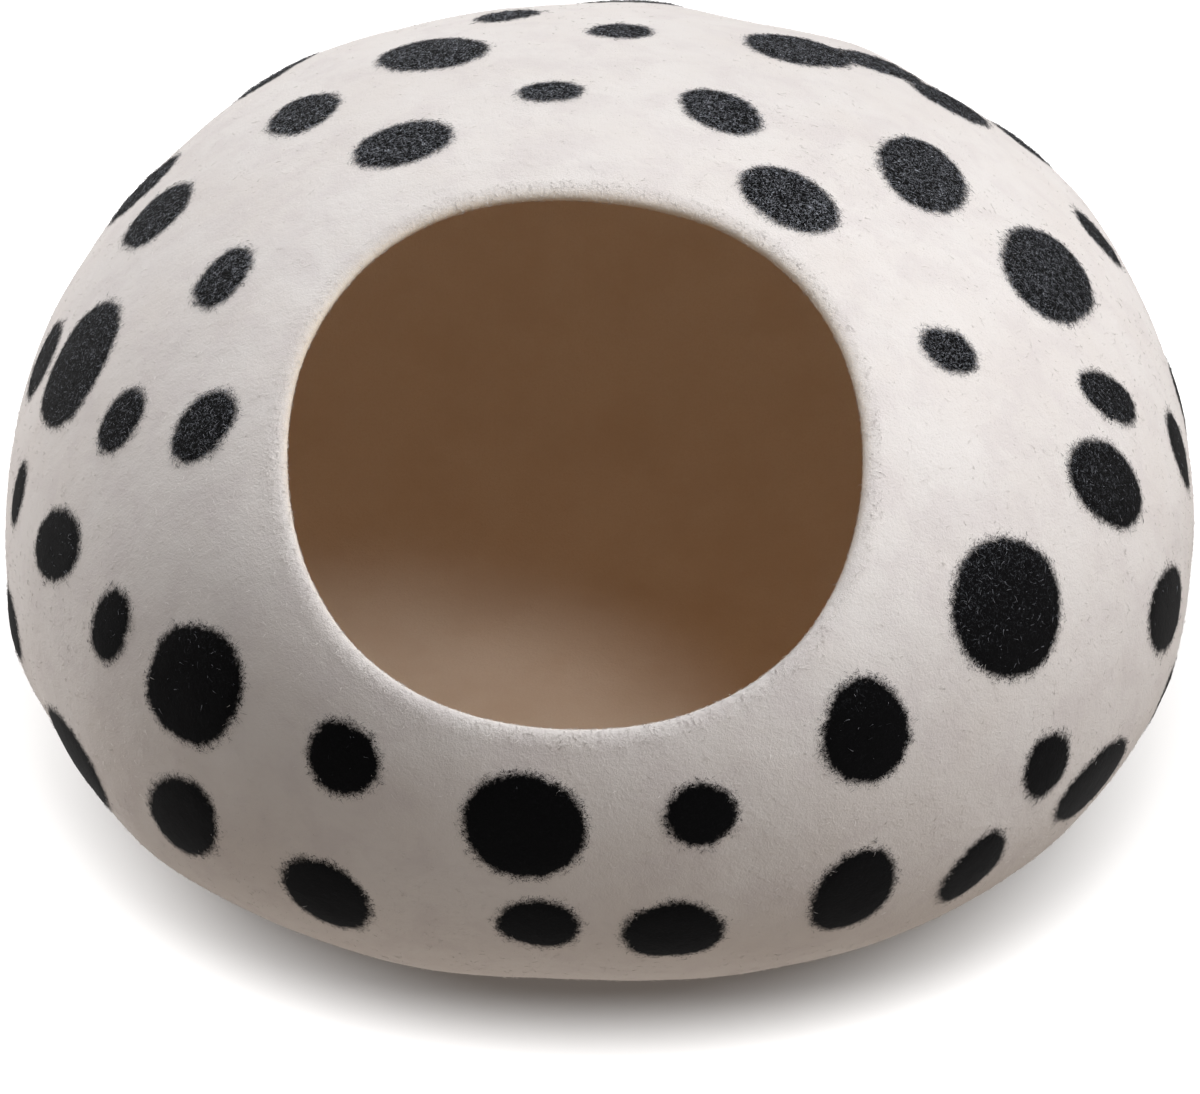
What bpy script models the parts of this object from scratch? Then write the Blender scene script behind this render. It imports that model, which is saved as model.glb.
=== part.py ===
"""Felt cat cave: one seamless vessel of wet-felted wool, with a round mouth cut high in its front.

The vessel rests flat on z = 0 with the middle of its box over the origin. Its mouth looks
towards -Y and upwards. One wall of even thickness makes the dome, the belly and the base, and
the cut edge of the mouth is felted round.
"""

from math import acos, asin, atan2, cos, exp, hypot, pi, radians, sin

import bmesh
import bpy
from mathutils import Matrix, Vector

# The outer body, measured from the middle of its waist, in metres.
HALF_WIDTH = 0.250
HALF_DEPTH = 0.272
WAIST_HEIGHT = 0.130
DOME_RISE = 0.190
BELLY_DROP = 0.1425

# Powers of the body's curves: 2 is an ellipse, and more is squarer.
PLAN_POWER = 2.18
DOME_POWER = 2.05
BELLY_POWER = 2.30

# The belly is this much above and below the ground where it turns into the flat base.
SETTLE = 0.004

# The mouth is cut straight along its own axis.
MOUTH_RADIUS = 0.1108
MOUTH_TILT = radians(35.0)
MOUTH_TURN = radians(-3.4)
# Waves in the hand-cut edge: how many round the mouth, how deep, and where they start.
MOUTH_WAVES = (
    (2, 0.0027, radians(41)),
    (3, 0.0007, radians(-45)),
    (4, 0.0018, radians(180)),
)

# The wall, and the round of its cut edge.
WALL = 0.008
LIP_ROUND = 0.0035
LIP_STEPS = 3

# Soft swells and hollows of the hand-worked felt: the bearing from the front and the height
# angle of each in degrees, its spread in degrees, and its rise in metres.
SWELLS = (
    (112, 24, 9, 0.0018),
    (130, 34, 7, -0.0016),
    (141, 39, 6, 0.0012),
    (156, 43, 7, -0.0024),
    (172, 45, 7, 0.0010),
    (-137, 38, 10, 0.0014),
    (-118, 28, 8, -0.0016),
    (-107, 20, 7, -0.0016),
    (-70, -5, 6, 0.0022),
    (-63, -8, 5, -0.0016),
    (-46, -15, 6, 0.0016),
    (-3, -21, 9, -0.0016),
    (55, -11, 9, -0.0013),
    (74, -2, 7, -0.0010),
)

# How finely the skin is divided round the mouth's axis and from the mouth to the far pole.
SIDES = 64
RINGS = 29

WOOL_COLOUR = (0.83, 0.79, 0.76, 1.0)
WOOL_ROUGHNESS = 0.95


def clear_scene():
    for item in list(bpy.data.objects):
        bpy.data.objects.remove(item, do_unlink=True)


def toward(bearing, height):
    """Unit direction at a bearing from the front (-Y), turning to +X, and a height angle."""
    return Vector((sin(bearing) * cos(height), -cos(bearing) * cos(height), sin(height)))


def swell_at(direction):
    """How far the felt stands out or in along a direction."""
    total = 0.0
    for bearing, height, spread, rise in SWELLS:
        away = direction.angle(toward(radians(bearing), radians(height)))
        total += rise * exp(-((away / radians(spread)) ** 2))
    return total


def reach(direction):
    """Distance from the middle of the waist to the body's surface along a unit direction."""
    wide = abs(direction.x / HALF_WIDTH) ** PLAN_POWER
    deep = abs(direction.y / HALF_DEPTH) ** PLAN_POWER
    plan = (wide + deep) ** (1 / PLAN_POWER)
    rise, power = (DOME_RISE, DOME_POWER) if direction.z > 0 else (BELLY_DROP, BELLY_POWER)
    return (plan**power + abs(direction.z / rise) ** power) ** (-1 / power) + swell_at(direction)


def settled(height):
    """Height of a point of the belly once the base has settled flat on the ground."""
    if height >= SETTLE:
        return height
    if height <= -SETTLE:
        return 0.0
    return (height + SETTLE) ** 2 / (4 * SETTLE)


def mouth_frame():
    """Rotation whose Z is the mouth's axis, X is level across it and Y is up its slope."""
    axis = toward(MOUTH_TURN, MOUTH_TILT)
    across = Vector((0, 0, 1)).cross(axis).normalized()
    return Matrix((across, axis.cross(across), axis)).transposed()


def mouth_radius(turn):
    """Radius of the cut edge at an angle round the mouth."""
    return MOUTH_RADIUS + sum(deep * cos(count * turn + start) for count, deep, start in MOUTH_WAVES)


def mouth_angle(frame, turn):
    """Angle from the mouth's axis at which the body's surface meets the cut edge."""
    angle = asin(MOUTH_RADIUS / HALF_WIDTH)
    for _ in range(12):
        direction = frame @ Vector((sin(angle) * cos(turn), sin(angle) * sin(turn), cos(angle)))
        angle = asin(mouth_radius(turn) / reach(direction))
    return angle


def make_skin():
    """The outer skin: a sphere opened at its pole, its rings spread between the mouth and the far pole."""
    skin = bmesh.new()
    bmesh.ops.create_uvsphere(skin, u_segments=SIDES, v_segments=RINGS, radius=1.0)
    pole = [v for v in skin.verts if v.co.z > cos(0.5 * pi / RINGS)]
    bmesh.ops.delete(skin, geom=pole, context="VERTS")

    frame = mouth_frame()
    first_ring = pi / RINGS
    edge_angles = {}
    for vert in skin.verts:
        turn = atan2(vert.co.y, vert.co.x) if hypot(vert.co.x, vert.co.y) > 1e-6 else 0.0
        key = round(turn, 4)
        if key not in edge_angles:
            edge_angles[key] = mouth_angle(frame, turn)
        along = (acos(max(-1.0, min(1.0, vert.co.z))) - first_ring) / (pi - first_ring)
        angle = edge_angles[key] + (pi - edge_angles[key]) * along
        direction = frame @ Vector((sin(angle) * cos(turn), sin(angle) * sin(turn), cos(angle)))
        point = direction * reach(direction)
        vert.co = Vector((point.x, point.y, settled(WAIST_HEIGHT + point.z)))
    bmesh.ops.recalc_face_normals(skin, faces=skin.faces)
    return skin


def centre_over_origin(skin):
    """Slides the skin so that the middle of its box is over the origin."""
    xs = [v.co.x for v in skin.verts]
    ys = [v.co.y for v in skin.verts]
    middle = Vector((max(xs) + min(xs), max(ys) + min(ys), 0.0)) / 2
    bmesh.ops.translate(skin, verts=skin.verts, vec=-middle)


def wool():
    material = bpy.data.materials.new("felted_wool")
    material.use_nodes = True
    shader = material.node_tree.nodes["Principled BSDF"]
    shader.inputs["Base Color"].default_value = WOOL_COLOUR
    shader.inputs["Roughness"].default_value = WOOL_ROUGHNESS
    shader.inputs["Metallic"].default_value = 0.0
    return material


def add_wall(shell):
    """The wall's thickness, inwards from the skin, and the rounded lip of the mouth."""
    thickness = shell.modifiers.new("wall", "SOLIDIFY")
    thickness.thickness = WALL
    thickness.offset = -1.0
    thickness.use_even_offset = True
    rounding = shell.modifiers.new("lip", "BEVEL")
    rounding.width = LIP_ROUND
    rounding.segments = LIP_STEPS
    rounding.limit_method = "ANGLE"
    rounding.angle_limit = radians(60)


def make_shell():
    skin = make_skin()
    centre_over_origin(skin)
    mesh = bpy.data.meshes.new("shell")
    skin.to_mesh(mesh)
    skin.free()
    mesh.materials.append(wool())
    mesh.shade_smooth()
    shell = bpy.data.objects.new("shell", mesh)
    bpy.context.scene.collection.objects.link(shell)
    add_wall(shell)


clear_scene()
make_shell()
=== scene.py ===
"""Felt cat cave: the looks of one seamless vessel of wet-felted wool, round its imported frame.

The cave stands on z = 0 and its round mouth looks towards -Y and upwards. Outside it is undyed
cream wool with round charcoal spots felted in, and inside it is a layer of beige wool.
"""

from math import pi, radians

import bmesh
import bpy
import numpy as np
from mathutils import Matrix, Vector, noise


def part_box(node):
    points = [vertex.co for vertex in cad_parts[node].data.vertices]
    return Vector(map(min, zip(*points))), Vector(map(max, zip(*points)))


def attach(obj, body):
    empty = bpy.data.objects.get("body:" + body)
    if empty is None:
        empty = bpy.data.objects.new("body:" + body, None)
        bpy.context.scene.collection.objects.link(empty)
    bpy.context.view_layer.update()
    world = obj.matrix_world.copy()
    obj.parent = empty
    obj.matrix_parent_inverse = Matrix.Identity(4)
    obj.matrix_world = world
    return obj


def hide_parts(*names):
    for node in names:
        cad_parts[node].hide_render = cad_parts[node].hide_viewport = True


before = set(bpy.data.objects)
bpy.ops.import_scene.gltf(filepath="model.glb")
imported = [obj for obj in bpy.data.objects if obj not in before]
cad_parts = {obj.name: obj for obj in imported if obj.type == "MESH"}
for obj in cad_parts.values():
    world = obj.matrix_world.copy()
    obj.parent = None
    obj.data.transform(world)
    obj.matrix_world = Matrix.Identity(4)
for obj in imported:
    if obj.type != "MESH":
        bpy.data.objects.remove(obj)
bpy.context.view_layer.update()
base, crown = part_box("shell")
height = crown.z - base.z

# ---------------------------------------------------------------------------------------------
# Camera: a long lens two metres off, square on to the front and turned down by 31 degrees, so
# that the mouth, the dome behind it and the belly below it all show.
CAMERA_AWAY = 2.0
CAMERA_RISE = radians(31)
AIM_SHARE = 0.3270
LENS_MM = 140.4
SENSOR_MM = 36.0


def toward(bearing, rise):
    """Unit directions at bearings from the front (-Y), turning to +X, and at height angles."""
    return np.stack(
        [np.sin(bearing) * np.cos(rise), -np.cos(bearing) * np.cos(rise), np.sin(rise)], axis=-1
    )


view_way = Vector(toward(0.0, CAMERA_RISE))
camera = bpy.data.objects.new("camera", bpy.data.cameras.new("camera"))
bpy.context.scene.collection.objects.link(camera)
camera.location = Vector((0, 0, AIM_SHARE * height)) + CAMERA_AWAY * view_way
camera.rotation_euler = view_way.to_track_quat("Z", "Y").to_euler()
camera.data.lens = LENS_MM
camera.data.sensor_width = SENSOR_MM
bpy.context.scene.camera = camera

# ---------------------------------------------------------------------------------------------
# The vessel: one seamless wall of wet-felted wool, 8 mm thick. Batts of wool are laid over a
# round form, wetted, soaped and rubbed until they felt, then the mouth is cut and the form is
# drawn out. The cut edge is rubbed round, so the cream outside turns over it into the beige.
HALF_WIDTH = (crown.x - base.x) / 2
HALF_DEPTH = (crown.y - base.y) / 2
WAIST_SHARE = 0.406
WAIST_HEIGHT = WAIST_SHARE * height
DOME_RISE = height - WAIST_HEIGHT
BELLY_DROP = 0.1425
SETTLE = 0.004
PLAN_POWER = 2.18
DOME_POWER = 2.05
BELLY_POWER = 2.30
MOUTH_RADIUS = 0.1117
MOUTH_TILT = radians(35.0)
MOUTH_TURN = radians(-3.4)
# The hand-cut edge waves in and out: how many times round, how deep, and where it starts.
MOUTH_WAVES = ((2, 0.0027, radians(41)), (3, 0.0007, radians(-45)), (4, 0.0018, radians(180)))
# Soft swells and hollows: bearing, height angle and spread in degrees, and rise in metres.
SWELLS = (
    (112, 24, 9, 0.0018), (130, 34, 7, -0.0016), (141, 39, 6, 0.0012), (156, 43, 7, -0.0024),
    (172, 45, 7, 0.0010), (-137, 38, 10, 0.0014), (-118, 28, 8, -0.0016), (-107, 20, 7, -0.0016),
    (-70, -5, 6, 0.0022), (-63, -8, 5, -0.0016), (-46, -15, 6, 0.0016), (-3, -21, 9, -0.0016),
    (55, -11, 9, -0.0013), (74, -2, 7, -0.0010),
)
WALL = 0.008
# The wall curls in a little towards the mouth, and its cut edge is rubbed to a blunt nose.
LIP_ROUND = 0.009
LIP_STEPS = 16
LIP_CURL = 0.0012
LIP_CURL_WIDTH = 0.030
SIDES = 280
RINGS = 300 + LIP_STEPS
RING_CROWDING = 1.3
# The edge's angle is worked out in rounds from a first guess, and slopes over a small step.
EDGE_GUESS = 0.45
EDGE_ROUNDS = 12
STEP = 1e-4
ASKEW = (0.31, 0.17, 0.94)
waist = np.array([0.0, 0.0, WAIST_HEIGHT])


def reach(way):
    """Distance from the middle of the waist to the felt's outside along unit directions."""
    rise = np.where(way[..., 2] > 0, DOME_RISE, BELLY_DROP)
    power = np.where(way[..., 2] > 0, DOME_POWER, BELLY_POWER)
    plan = np.abs(way[..., 0] / HALF_WIDTH) ** PLAN_POWER
    plan = plan + np.abs(way[..., 1] / HALF_DEPTH) ** PLAN_POWER
    out = (plan ** (power / PLAN_POWER) + np.abs(way[..., 2] / rise) ** power) ** (-1 / power)
    for bearing, lift, spread, swell in SWELLS:
        away = np.arccos(np.clip(way @ toward(radians(bearing), radians(lift)), -1, 1))
        out = out + swell * np.exp(-((away / radians(spread)) ** 2))
    return out


def outside(way):
    """Points of the felt's outside along unit directions, with the base settled flat."""
    point = waist + way * reach(way)[..., None]
    low = np.clip(point[..., 2] + SETTLE, 0, 2 * SETTLE) ** 2 / (4 * SETTLE)
    point[..., 2] = np.where(point[..., 2] < SETTLE, low, point[..., 2])
    return point


def unit(vectors):
    return vectors / np.linalg.norm(vectors, axis=-1, keepdims=True)


mouth_axis = toward(MOUTH_TURN, MOUTH_TILT)
mouth_across = unit(np.cross([0, 0, 1], mouth_axis))
mouth_up = np.cross(mouth_axis, mouth_across)


def round_mouth(turn, angle):
    """Unit directions at an angle from the mouth's axis, at turns round it."""
    side = np.cos(turn)[..., None] * mouth_across + np.sin(turn)[..., None] * mouth_up
    return np.sin(angle)[..., None] * side + np.cos(angle)[..., None] * mouth_axis


def mouth_angle(turn):
    """Angle from the mouth's axis at which the outside meets the cut edge."""
    waves = (deep * np.cos(count * turn + start) for count, deep, start in MOUTH_WAVES)
    cut = MOUTH_RADIUS + sum(waves)
    angle = np.full_like(turn, EDGE_GUESS)
    for _ in range(EDGE_ROUNDS):
        angle = np.arcsin(cut / reach(round_mouth(turn, angle)))
    return angle


def facing(way):
    """Outward normals of the felt at unit directions from the waist."""
    side = unit(np.cross(ASKEW, way))
    up = np.cross(way, side)
    here = outside(way)
    sideways = outside(unit(way + STEP * side)) - here
    upwards = outside(unit(way + STEP * up)) - here
    return unit(np.cross(sideways, upwards))


def make_vessel():
    """A ball pressed in on itself: its first rings run from the far pole to the mouth outside, the
    middle ones turn over the lip, and the rest run back inside. Gives its depth in the wall too."""
    ball = bmesh.new()
    bmesh.ops.create_uvsphere(ball, u_segments=SIDES, v_segments=RINGS, radius=1.0)
    start = np.array([v.co for v in ball.verts])
    off_axis = np.hypot(start[:, 0], start[:, 1]) > 1e-6
    turn = np.where(off_axis, np.arctan2(start[:, 1], start[:, 0]), 0)
    ring = np.arccos(np.clip(start[:, 2], -1, 1)) / pi * RINGS
    one_side = (RINGS - LIP_STEPS) / 2
    over = np.clip((ring - one_side) / LIP_STEPS, 0, 1) * pi
    along = np.clip(np.minimum(ring, RINGS - ring) / one_side, 0, 1)
    edge = mouth_angle(turn)
    edge += LIP_ROUND / reach(round_mouth(turn, edge))
    angle = pi - (pi - edge) * (1 - (1 - along) ** RING_CROWDING)
    way = round_mouth(turn, angle)
    point, normal = outside(way), facing(way)
    inward = unit(outside(round_mouth(turn, angle - STEP)) - point)
    near = np.clip(1 - (angle - edge) * reach(way) / LIP_CURL_WIDTH, 0, 1)
    depth = (1 - np.cos(over)) / 2
    point = point - normal * (WALL * depth + LIP_CURL * near**2)[:, None]
    point += inward * (LIP_ROUND * np.sin(over))[:, None]
    for axis in range(2):
        low, high = point[:, axis].min(), point[:, axis].max()
        point[:, axis] += (base[axis] + crown[axis] - low - high) / 2
    return ball, point, depth


ball, place, depth = make_vessel()

# Hand work leaves the wall a little uneven: broad lumps of about 45 mm and small ones of about
# 16 mm. Both sides follow them, sunk a little, and they fade out where the base lies flat.
LUMPS = ((45, 0.0006), (16, 0.0003))
LUMP_SINK = 0.0005
LUMP_FREE = 0.012
LUMP_FADE = 0.03
BODY_MM = 250
way = unit(place - waist)
lump = np.full(len(place), -LUMP_SINK)
for across_mm, rise in LUMPS:
    lump += [rise * noise.noise(Vector(w) * BODY_MM / across_mm) for w in way]
lump *= np.clip((place[:, 2] - LUMP_FREE) / LUMP_FADE, 0, 1)
place += way * lump[:, None]
for vert, point in zip(ball.verts, place):
    vert.co = point
bmesh.ops.recalc_face_normals(ball, faces=ball.faces)
shell = bpy.data.objects.new("felt_shell", bpy.data.meshes.new("felt_shell"))
bpy.context.scene.collection.objects.link(shell)
ball.to_mesh(shell.data)
ball.free()

# ---------------------------------------------------------------------------------------------
# Spots: round tufts of charcoal wool, 20 to 71 mm across, laid on the wet cream wool by hand
# and rubbed in with it. Each row gives bearing from the front, height angle above the waist and
# lean of the longer axis in degrees, and length and breadth in mm: (bearing, height, lean, l, b).
SPOTS = (
    # the crown and the back of the dome
    (-160, 56, 0, 28, 26), (173, 69, 0, 27, 23), (-130, 63, 90, 52, 40), (132, 57, 100, 53, 42),
    (-90, 84, 90, 26, 20), (77, 75, 40, 40, 30), (-103, 53, 25, 40, 32), (-70, 65, 80, 42, 34),
    (47, 60, 90, 44, 34), (81, 51, 0, 60, 40),
    # the far edge of the dome
    (175, 44, 0, 44, 36), (128, 46, 90, 42, 32), (118, 41, 90, 42, 34), (-132, 36, 0, 46, 34),
    (-107, 30, 90, 44, 36), (118, 30, 90, 34, 28), (100, 26, 90, 32, 26),
    # the shoulders
    (-91, 36, 0, 43, 38), (-62, 41, 130, 33, 26), (-74, 24, 140, 60, 54), (-46, 29, 80, 34, 27),
    (-58, 25, 90, 30, 25), (76, 35, 165, 71, 46), (47, 37, 135, 26, 21), (66, 24, 135, 40, 23),
    (-86, 18, 0, 40, 34), (92, 10, 0, 34, 30),
    # the waist
    (-59, 12, 30, 42, 30), (-47, 10, 80, 33, 23), (-36, 9, 40, 52, 46), (-73, 10, 90, 28, 22),
    (57, 19, 140, 52, 36), (38, 15, 0, 58, 54), (78, 12, 90, 36, 30), (62, 4, 160, 50, 35),
    (22, 9, 88, 42, 37), (-21, 7, 110, 31, 30), (8, 4, 0, 28, 27), (-6, 3, 160, 48, 45),
    # the belly
    (-70, -2, 0, 36, 28), (-55, -8, 0, 54, 44), (-37, -4, 60, 48, 34), (-23, -7, 110, 41, 37),
    (-5, -7, 0, 33, 29), (6, -8, 0, 40, 36), (21, -6, 70, 46, 35), (33, -8, 70, 40, 28),
    (40, 0, 120, 30, 27), (48, -6, 0, 55, 31), (66, -8, 0, 30, 28),
)
BACK_TRIES = 900
BACK_FACING = -0.2
BACK_SINES = (-0.45, 1)
BACK_SPOT_MM = (24, 56)
BACK_SLIMNESS = (0.72, 0.98)
SPOT_SPACING = 0.013
SPOT_LOWEST = 0.034
SPOT_RISE = 0.0006
SPOT_EDGE_MM = 1.0
SPOT_SLOPE_MM = 5.0
OUTLINE_WAVES = 4
OUTLINE_DEPTH = 0.045
FAR_MM = 50.0
# The beige lining laps further out over the edge towards the top of the mouth.
LAP_FROM = 0.19
LAP_RISE = 0.08
LAP_SHARE = 0.35


def place_spots():
    """The charted spots, and more of the same scattered over the back, which the chart leaves open."""
    draw = np.random.default_rng(7)
    spots = [
        (toward(radians(bearing), radians(lift)), radians(lean), long / 2000, short / 2000)
        for bearing, lift, lean, long, short in SPOTS
    ]
    taken = [(outside(way), long) for way, _, long, _ in spots]
    for _ in range(BACK_TRIES):
        way = toward(draw.uniform(-pi, pi), np.arcsin(draw.uniform(*BACK_SINES)))
        long = draw.uniform(*BACK_SPOT_MM) / 2000
        short = long * draw.uniform(*BACK_SLIMNESS)
        point = outside(way)
        clear = min(np.linalg.norm(point - other) - long - wide for other, wide in taken)
        hidden = facing(way) @ np.array(view_way) < BACK_FACING
        if hidden and clear > SPOT_SPACING and point[2] > SPOT_LOWEST:
            spots.append((way, draw.uniform(0, pi), long, short))
            taken.append((point, long))
    return spots


def spot_gaps(points, spots):
    """Distance in mm from each point to the nearest spot's edge, which is below 0 in a spot."""
    draw = np.random.default_rng(21)
    gaps = np.full(len(points), FAR_MM)
    for way, lean, long, short in spots:
        normal = facing(way)
        level = unit(np.cross([0.0, 0.0, 1.0], normal))
        rise = np.cross(normal, level)
        away = points - outside(way)
        across = away @ (np.cos(lean) * level + np.sin(lean) * rise)
        along = away @ (np.cos(lean) * rise - np.sin(lean) * level)
        turn = np.arctan2(along, across)
        edge = long * short / np.hypot(short * np.cos(turn), long * np.sin(turn))
        for count in range(2, 2 + OUTLINE_WAVES):
            depth, start = draw.normal(0, OUTLINE_DEPTH / count), draw.uniform(0, 2 * pi)
            edge = edge * (1 + depth * np.cos(count * turn + start))
        gaps = np.minimum(gaps, 1000 * (np.linalg.norm(away, axis=1) - edge))
    return gaps


spots = place_spots()
gap = spot_gaps(place, spots)
gap[depth > 0.5] = FAR_MM
risen = SPOT_RISE * np.clip((SPOT_EDGE_MM - gap) / SPOT_SLOPE_MM, 0, 1)
place += way * risen[:, None] * (depth < 0.5)[:, None]
shell.data.vertices.foreach_set("co", place.ravel())
lap = np.clip((place[:, 2] - LAP_FROM) / LAP_RISE, 0, 1)
for name, values in (("lining_depth", depth + LAP_SHARE * lap), ("spot_gap_mm", gap)):
    kept = shell.data.attributes.new(name, "FLOAT", "POINT")
    kept.data.foreach_set("value", values.astype(np.float32))
shell.data.shade_smooth()
shell.data.update()

# Wet-felted wool: a dense mat of crimped fibres a fortieth of a millimetre thick, quite matt,
# with a faint pale sheen at its edges from the fibres that stand off it. The real fibres are too
# fine to show, so the grain is drawn about 0.9 mm wide.
CREAM = "#E0DCDA"
CREAM_WARM = "#D9D2CE"
CREAM_GREY = "#D3CCCC"
BEIGE = "#E4D8C8"
BEIGE_DARK = "#D9C8B4"
CHARCOAL = "#050506"
SILVER = "#A4A8B1"
GRAIN_MM = 0.9
HAIR_MM = 1.7
PEBBLE_MM = 7.0
CLOUD_MM = 45.0
PATCH_MM = 20.0
RAGGED_MM = 4.0


def linear(code):
    """The linear colour of an sRGB hex value."""
    parts = [int(code[at : at + 2], 16) / 255 for at in (1, 3, 5)]
    return [c / 12.92 if c <= 0.04045 else ((c + 0.055) / 1.055) ** 2.4 for c in parts] + [1.0]


def add(tree, kind, settings, values, links):
    """Add a node to a tree, with its settings, the values of its sockets and the links into them."""
    node = tree.nodes.new("ShaderNode" + kind)
    for name, value in settings.items():
        setattr(node, name, value)
    for name, value in values.items():
        node.inputs[name].default_value = value
    for name, source in links.items():
        tree.links.new(source, node.inputs[name])
    return node


def wet_felted_wool():
    """Cream outside, charcoal spots with hairy edges and a painted sheen towards the crown, and beige
    inside, over one felted grain.
    """
    felt = bpy.data.materials.new("wet_felted_wool")
    felt.use_nodes = True
    tree = felt.node_tree
    place = add(tree, "TexCoord", {}, {}, {}).outputs["Object"]
    gap = add(tree, "Attribute", {"attribute_name": "spot_gap_mm"}, {}, {}).outputs["Fac"]
    depth = add(tree, "Attribute", {"attribute_name": "lining_depth"}, {}, {}).outputs["Fac"]

    def grain(size_mm, detail, twist):
        values = {"Scale": 1000 / size_mm, "Detail": detail, "Distortion": twist, "Roughness": 0.6}
        return add(tree, "TexNoise", {}, values, {"Vector": place}).outputs["Fac"]

    def ranged(value, low, high, bottom=0.0, top=1.0):
        values = {"From Min": low, "From Max": high, "To Min": bottom, "To Max": top}
        settings = {"interpolation_type": "SMOOTHSTEP"}
        return add(tree, "MapRange", settings, values, {"Value": value}).outputs["Result"]

    def plus(value, other, share):
        """value + other * share."""
        settings, values = {"operation": "MULTIPLY_ADD"}, {1: share}
        return add(tree, "Math", settings, values, {0: other, 2: value}).outputs[0]

    def times(value, other):
        return add(tree, "Math", {"operation": "MULTIPLY"}, {}, {0: value, 1: other}).outputs[0]

    def blend(share, first, second):
        settings = {"data_type": "RGBA"}
        values, links = {}, {"Factor": share}
        for slot, colour in (("A", first), ("B", second)):
            if isinstance(colour, str):
                values[6 if slot == "A" else 7] = linear(colour)
            else:
                links[6 if slot == "A" else 7] = colour
        return add(tree, "Mix", settings, values, links).outputs[2]

    fine = grain(GRAIN_MM, 3, 0.6)
    strands = grain(3 * GRAIN_MM, 2, 2.5)
    pebble = grain(PEBBLE_MM, 2, 0.3)
    cloud = grain(CLOUD_MM, 3, 0.0)
    patch = grain(PATCH_MM, 3, 0.4)
    ragged = grain(RAGGED_MM, 2, 0.5)
    # Thin curly lines, as stray hairs lie, run where a twisted grain crosses its middle value.
    curl = add(tree, "Math", {"operation": "PINGPONG"}, {1: 0.5}, {0: grain(HAIR_MM, 1, 1.0)})
    hairs = ranged(curl.outputs[0], 0.458, 0.493)

    cream = blend(ranged(cloud, 0.3, 0.8, 0.0, 0.6), CREAM, CREAM_WARM)
    cream = blend(ranged(patch, 0.42, 0.70, 0.0, 0.5), cream, CREAM_GREY)
    cream = blend(ranged(fine, 0.35, 0.75, 0.0, 0.25), cream, CREAM_WARM)
    beige = blend(ranged(cloud, 0.4, 0.7, 0.0, 0.5), BEIGE, BEIGE_DARK)
    beige = blend(ranged(fine, 0.4, 0.7, 0.0, 0.4), beige, BEIGE_DARK)
    # Pale hairs lie among the black ones in clumps, and towards the crown there are more of them: that
    # rise with height is a painted sheen, standing for the grazing light that lightens the upper spots.
    rise = add(tree, "SeparateXYZ", {}, {}, {"Vector": place}).outputs["Z"]
    pale_share_and_sheen = times(ranged(rise, 0.17, 0.35, 0.01, 1.3), ranged(strands, 0.42, 0.62, 0.05, 1.0))
    pale_hair_and_sheen = times(hairs, pale_share_and_sheen)
    # The spots' colour: charcoal with pale hairs, made lighter towards the crown by painted sheen.
    charcoal = blend(pale_hair_and_sheen, CHARCOAL, SILVER)
    hairy = plus(plus(plus(gap, ragged, 4.0), fine, 3.5), hairs, -2.0)
    spot = ranged(hairy, 5.2, 1.6)
    outside_wool = blend(spot, cream, charcoal)
    turned = ranged(plus(depth, fine, 0.3), 0.5, 1.1)
    colour = blend(turned, outside_wool, beige)

    height = plus(plus(fine, strands, 0.7), pebble, 1.6)
    bump = add(tree, "Bump", {}, {"Strength": 1.0, "Distance": 0.00022}, {"Height": height})
    shader = tree.nodes["Principled BSDF"]
    shader.inputs["Roughness"].default_value = 0.92
    shader.inputs["IOR"].default_value = 1.54
    shader.inputs["Specular IOR Level"].default_value = 0.05
    shader.inputs["Sheen Weight"].default_value = 0.03
    shader.inputs["Sheen Roughness"].default_value = 0.45
    tree.links.new(colour, shader.inputs["Base Color"])
    tree.links.new(bump.outputs["Normal"], shader.inputs["Normal"])
    return felt


shell.data.materials.append(wet_felted_wool())
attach(shell, "root")
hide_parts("shell")

# ---------------------------------------------------------------------------------------------
# Fuzz: single crimped wool fibres that stand off the felt, cream over the outside and the lip,
# black and grey over the spots and across their edges. Real fibres are a fortieth of a
# millimetre thick, so they are drawn about 0.15 mm thick at the root to show.
FORMS = 5
FIBRE_GIRTH = 0.032
FIBRE_CRIMP = 0.16
FIBRE_ROOT = 0.0004
FIBRE_BLACK = "#060607"
FIBRE_GREY = "#3A3B40"
FIBRE_SILVER = "#8F929A"
# No fibre grows where the felt lies on the ground, and on the spots they grow above this share of
# the height only, thicker towards the crown.
BARE_BELOW = 0.004
SPOT_FUZZ_FROM = 0.45


def fibre_forms(bends):
    """Fibres of unit length along +Z, each a slim three-sided cone with bends: corners and triangles."""
    draw = np.random.default_rng(3)
    forms = []
    for _ in range(FORMS):
        form = bmesh.new()
        bmesh.ops.create_cone(
            form, cap_ends=True, segments=3, radius1=FIBRE_GIRTH, radius2=0, depth=1
        )
        bmesh.ops.remove_doubles(form, verts=form.verts, dist=1e-5)
        long = [e for e in form.edges if abs(e.verts[0].co.z - e.verts[1].co.z) > 0.5]
        bmesh.ops.subdivide_edges(form, edges=long, cuts=bends, use_grid_fill=True)
        sway, twist = draw.uniform(-1, 1, 2) * FIBRE_CRIMP, draw.uniform(-1, 1, 2) * FIBRE_CRIMP
        for vert in form.verts:
            at = vert.co.z + 0.5
            vert.co.x += sway[0] * at * at + sway[1] * np.sin(pi * at)
            vert.co.y += twist[0] * at * at + twist[1] * np.sin(pi * at)
            vert.co.z = at
        bmesh.ops.triangulate(form, faces=form.faces)
        form.verts.index_update()
        corners = np.array([v.co for v in form.verts])
        forms.append((corners, np.array([[v.index for v in f.verts] for f in form.faces])))
        form.free()
    return forms


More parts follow.
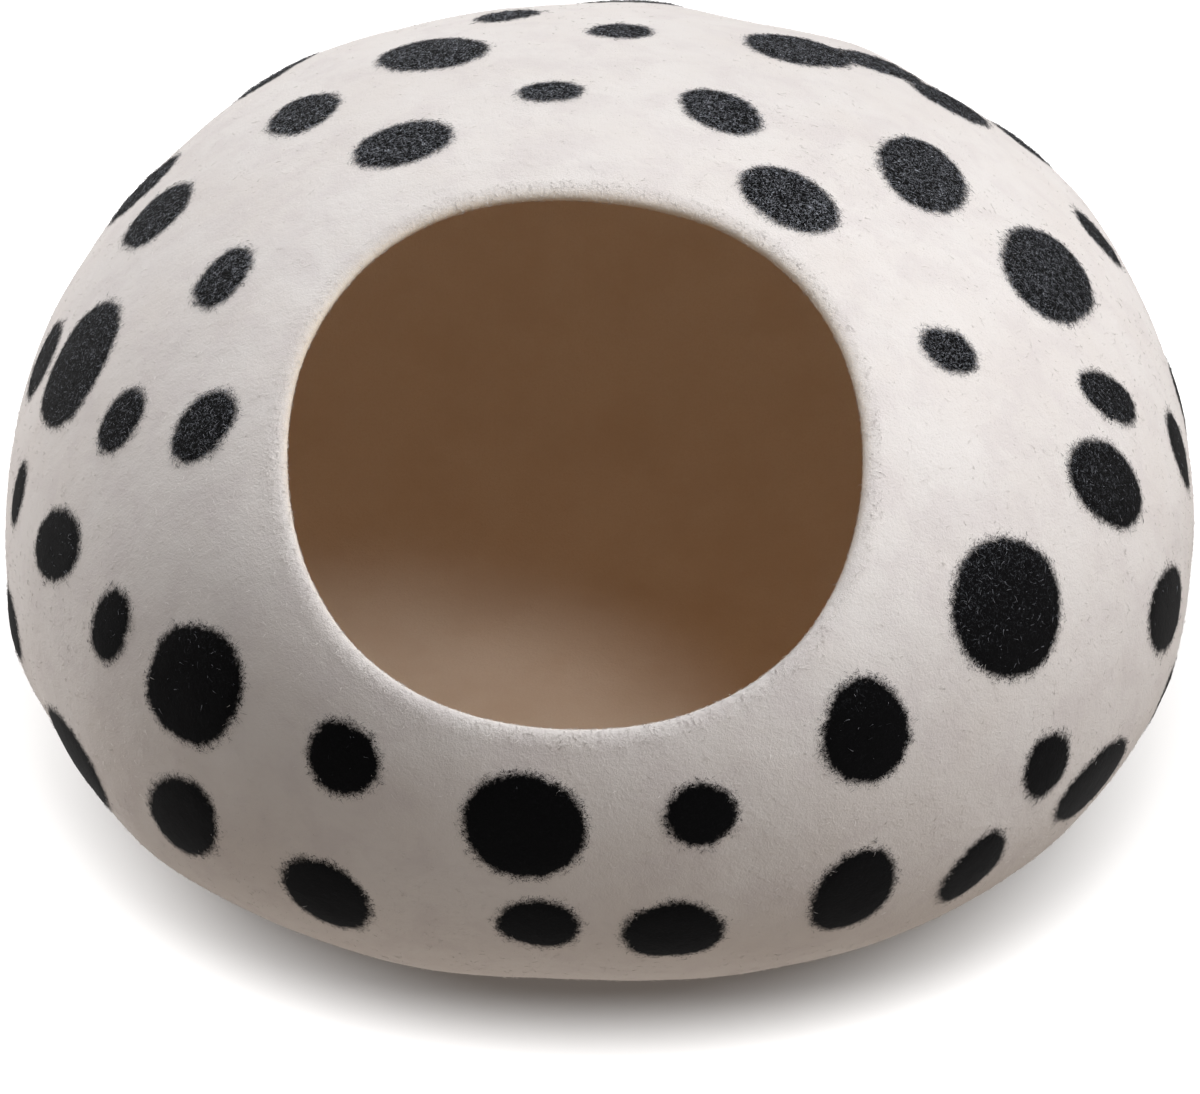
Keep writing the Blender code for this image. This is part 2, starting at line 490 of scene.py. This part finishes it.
long_forms, short_forms = fibre_forms(2), fibre_forms(1)
shell.data.calc_loop_triangles()
triangles = np.empty(len(shell.data.loop_triangles) * 3, np.int32)
shell.data.loop_triangles.foreach_get("vertices", triangles)
triangles = triangles.reshape(-1, 3)
sides = place[triangles]
flat = np.cross(sides[:, 1] - sides[:, 0], sides[:, 2] - sides[:, 0])
area = np.linalg.norm(flat, axis=1) / 2
face_depth = depth[triangles].mean(axis=1)
face_gap = gap[triangles].mean(axis=1)


def strew(count, weight, draw):
    """Points and normals spread over the felt's triangles, in proportion to area times weight."""
    share = area * weight
    pick = draw.choice(len(area), count, p=share / share.sum())
    u, v = draw.random((2, count, 1))
    u, v = np.where(u + v > 1, 1 - u, u), np.where(u + v > 1, 1 - v, v)
    corner = sides[pick]
    point = corner[:, 0] + u * (corner[:, 1] - corner[:, 0]) + v * (corner[:, 2] - corner[:, 0])
    return point, unit(flat[pick])


def make_fuzz(name, forms, point, normal, length, lift, wools, draw):
    """One piece of fibres rooted at points, of given lengths, that stand off the felt by lift."""
    count = len(point)
    level = unit(np.cross(normal, unit(draw.normal(size=(count, 3)))))
    axis = unit(np.cos(lift)[:, None] * level + np.sin(lift)[:, None] * normal)
    side = unit(np.cross(axis, normal))
    up = np.cross(side, axis)
    kind = draw.integers(0, FORMS, count)
    corners, faces, wool, start = [], [], [], 0
    for form, (shape, around) in enumerate(forms):
        chosen = np.flatnonzero(kind == form)
        axes = np.stack([side[chosen], up[chosen], axis[chosen]], axis=1)
        made = np.einsum("vk,nkx->nvx", shape, axes) * length[chosen][:, None, None]
        made += (point[chosen] - FIBRE_ROOT * normal[chosen])[:, None, :]
        corners.append(made.reshape(-1, 3))
        first = start + len(shape) * np.arange(len(chosen))
        faces.append((around[None] + first[:, None, None]).reshape(-1, 3))
        wool.append(np.repeat(draw.integers(0, len(wools), len(chosen)), len(around)))
        start += made.shape[0] * made.shape[1]
    corners, faces, wool = (np.concatenate(x) for x in (corners, faces, wool))
    mesh = bpy.data.meshes.new(name)
    mesh.vertices.add(len(corners))
    mesh.vertices.foreach_set("co", corners.ravel())
    mesh.loops.add(faces.size)
    mesh.loops.foreach_set("vertex_index", faces.ravel())
    mesh.polygons.add(len(faces))
    mesh.polygons.foreach_set("loop_start", 3 * np.arange(len(faces)))
    mesh.polygons.foreach_set("material_index", wool)
    mesh.update(calc_edges=True)
    mesh.shade_smooth()
    for material in wools:
        mesh.materials.append(material)
    fuzz = bpy.data.objects.new(name, mesh)
    bpy.context.scene.collection.objects.link(fuzz)
    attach(fuzz, "root")
    return fuzz


def wool_fibre(name, colour):
    """Wool fibre, undyed or dyed in the fleece: its scales leave it almost matt."""
    fibre = bpy.data.materials.new(name)
    fibre.use_nodes = True
    shader = fibre.node_tree.nodes["Principled BSDF"]
    shader.inputs["Base Color"].default_value = linear(colour)
    shader.inputs["Roughness"].default_value = 0.75
    shader.inputs["IOR"].default_value = 1.54
    shader.inputs["Specular IOR Level"].default_value = 0.1
    return fibre


cream_fibre = wool_fibre("cream_wool_fibre", CREAM)
black_fibre = wool_fibre("black_wool_fibre", FIBRE_BLACK)
grey_fibre = wool_fibre("grey_wool_fibre", FIBRE_GREY)
silver_fibre = wool_fibre("silver_wool_fibre", FIBRE_SILVER)

fuzz_draw = np.random.default_rng(11)


def grow(name, forms, count, weight, lengths, steepest, lying, wools):
    """One piece of fuzz: fibres strewn by weight, from flat to the steepest lift in degrees, of
    which more lie low the higher the power called lying is."""
    point, normal = strew(count, weight, fuzz_draw)
    length = fuzz_draw.uniform(*lengths, len(point))
    lift = radians(steepest) * fuzz_draw.random(len(point)) ** lying
    return make_fuzz(name, forms, point, normal, length, lift, wools, fuzz_draw)


above_base = (sides[:, :, 2].min(axis=1) > BARE_BELOW).astype(float)
outer = (face_depth < 0.1) * above_base
back = sides[:, :, 1].mean(axis=1) > 0
on_cream = outer * (face_gap > 0.5)
on_spots = outer * (face_gap < 0.0)
on_spots *= np.clip(sides[:, :, 2].mean(axis=1) / height - SPOT_FUZZ_FROM, 0, 1) ** 2
on_edges = outer * (abs(face_gap - 0.3) < 1.7)
on_lip = (face_depth > 0.02) * (face_depth < 0.98) * above_base
spot_wools = [black_fibre, grey_fibre, silver_fibre]
edge_wools = [black_fibre, black_fibre, grey_fibre, cream_fibre]

fuzz_pieces = []
# Each piece: name, fibres' forms, how many, where, shortest and longest, steepest, lying, wools.
for name, forms, count, weight, lengths, steepest, lying, wools in (
    ("cream_fuzz_front", short_forms, 12000, on_cream * ~back, (0.0015, 0.0040), 80, 1.5, [cream_fibre]),
    ("cream_fuzz_back", short_forms, 6000, on_cream * back, (0.0015, 0.0040), 80, 1.5, [cream_fibre]),
    ("spot_fuzz_front", short_forms, 13000, on_spots * ~back, (0.0015, 0.0035), 60, 2, spot_wools),
    ("spot_fuzz_back", short_forms, 8000, on_spots * back, (0.0015, 0.0035), 60, 2, spot_wools),
    ("spot_edge_fuzz", short_forms, 16000, on_edges, (0.001, 0.003), 30, 1, edge_wools),
    ("lip_fuzz", long_forms, 8000, on_lip, (0.0015, 0.004), 80, 1, [cream_fibre]),
):
    fuzz_pieces.append(grow(name, forms, count, weight, lengths, steepest, lying, wools))

# ---------------------------------------------------------------------------------------------
# Studio: a plain white floor and three broad soft lights, a key on the right, a rim light low on
# the left and a top light behind, with a snooted lamp that looks down into the mouth. The floor
# has two broad lights of its own from the front, so that only the shade close to the cave is
# left, and a faint warm lamp inside stands for the light that comes through the felt.
FLOOR_RADIUS = 30.0
FLOOR_SIDES = 96
PAPER = (0.35, 0.345, 0.343, 1)
FLOOR_GLOW = 0.02
LIGHT_AWAY = 2.4
# Each soft light: name, bearing and height angle in degrees, size in metres and power in watts.
SOFT_LIGHTS = (
    ("key_light", 80, 44, 1.3, 41.0),
    ("rim_light", -121, 15, 1.2, 42.0),
    ("top_light", 150, 70, 1.2, 21.0),
)
FLOOR_LIGHT_BEARING = 34
FLOOR_LIGHT_HEIGHT = 56
FLOOR_LIGHT_SPREAD = radians(40)
FLOOR_LIGHT_STRENGTH = 9.2
INSIDE_SIZE = 0.06
INSIDE_WATTS = 0.066
INSIDE_COLOUR = (1.0, 0.52, 0.24)
SNOOT_BEARING = 20
SNOOT_HEIGHT = 58
SNOOT_AWAY = 0.6
SNOOT_SINK = 0.03
SNOOT_SPREAD = radians(18)
SNOOT_BLEND = 0.6
SNOOT_SIZE = 0.17
SNOOT_WATTS = 15.5
SKY_GLOW = 0.12
SKY = (1.0, 0.93, 0.89, 1.0)
BOUNCE = (4.15, 3.65, 3.2, 1.0)

floor_form = bmesh.new()
bmesh.ops.create_circle(floor_form, cap_ends=True, radius=FLOOR_RADIUS, segments=FLOOR_SIDES)
floor = bpy.data.objects.new("studio_floor", bpy.data.meshes.new("studio_floor"))
floor_form.to_mesh(floor.data)
floor_form.free()
bpy.context.scene.collection.objects.link(floor)
floor.visible_diffuse = False

paper = bpy.data.materials.new("white_paper_floor")
paper.use_nodes = True
paper_shader = paper.node_tree.nodes["Principled BSDF"]
paper_shader.inputs["Base Color"].default_value = PAPER
paper_shader.inputs["Roughness"].default_value = 1.0
paper_shader.inputs["Specular IOR Level"].default_value = 0.0
paper_shader.inputs["Emission Color"].default_value = (1, 1, 1, 1)
paper_shader.inputs["Emission Strength"].default_value = FLOOR_GLOW
floor.data.materials.append(paper)


def aim(name, light, way, away, target, lit):
    """Hang a light at a distance from a target, facing it, so that it falls on one group of objects."""
    lamp = bpy.data.objects.new(name, light)
    lamp.location = target + away * Vector(way)
    lamp.rotation_euler = Vector(way).to_track_quat("Z", "Y").to_euler()
    lamp.visible_camera = False
    lamp.light_linking.receiver_collection = lit
    bpy.context.scene.collection.objects.link(lamp)


lit_floor = bpy.data.collections.new("lit_floor")
lit_floor.objects.link(floor)
lit_felt = bpy.data.collections.new("lit_felt")
for piece in [shell, *fuzz_pieces]:
    lit_felt.objects.link(piece)

middle = Vector((0, 0, height / 2))
for name, bearing, lift, across, watts in SOFT_LIGHTS:
    light = bpy.data.lights.new(name, "AREA")
    light.shape = "DISK"
    light.size = across
    light.energy = watts
    aim(name, light, toward(radians(bearing), radians(lift)), LIGHT_AWAY, middle, lit_felt)

snoot = bpy.data.lights.new("snoot", "SPOT")
snoot.spot_size = SNOOT_SPREAD
snoot.spot_blend = SNOOT_BLEND
snoot.shadow_soft_size = SNOOT_SIZE
snoot.energy = SNOOT_WATTS
mouth_middle = Vector(outside(mouth_axis)) - SNOOT_SINK * Vector(mouth_axis)
snoot_way = toward(radians(SNOOT_BEARING), radians(SNOOT_HEIGHT))
aim("snoot", snoot, snoot_way, SNOOT_AWAY, mouth_middle, lit_felt)

inside = bpy.data.lights.new("inside_glow", "POINT")
inside.shadow_soft_size = INSIDE_SIZE
inside.energy = INSIDE_WATTS
inside.color = INSIDE_COLOUR
aim("inside_glow", inside, (0, 0, 1), 0.0, middle, lit_felt)

floor_lights = (("floor_light_left", -FLOOR_LIGHT_BEARING), ("floor_light_right", FLOOR_LIGHT_BEARING))
for name, bearing in floor_lights:
    light = bpy.data.lights.new(name, "SUN")
    light.angle = FLOOR_LIGHT_SPREAD
    light.energy = FLOOR_LIGHT_STRENGTH
    way = toward(radians(bearing), radians(FLOOR_LIGHT_HEIGHT))
    aim(name, light, way, LIGHT_AWAY, middle, lit_floor)

world = bpy.data.worlds.new("studio")
bpy.context.scene.world = world
world.use_nodes = True
sky = world.node_tree
sky_way = add(sky, "TexCoord", {}, {}, {}).outputs["Generated"]
sky_rise = add(sky, "SeparateXYZ", {}, {}, {"Vector": sky_way}).outputs["Z"]
sky_share = add(
    sky, "MapRange", {"interpolation_type": "SMOOTHSTEP"}, {"From Min": -0.15, "From Max": 0.05},
    {"Value": sky_rise},
).outputs["Result"]
sky_mix = add(
    sky, "Mix", {"data_type": "RGBA"}, {6: BOUNCE, 7: SKY}, {"Factor": sky_share}
)
sky.links.new(sky_mix.outputs[2], sky.nodes["Background"].inputs["Color"])
sky.nodes["Background"].inputs["Strength"].default_value = SKY_GLOW

bpy.context.scene.view_settings.view_transform = "Standard"
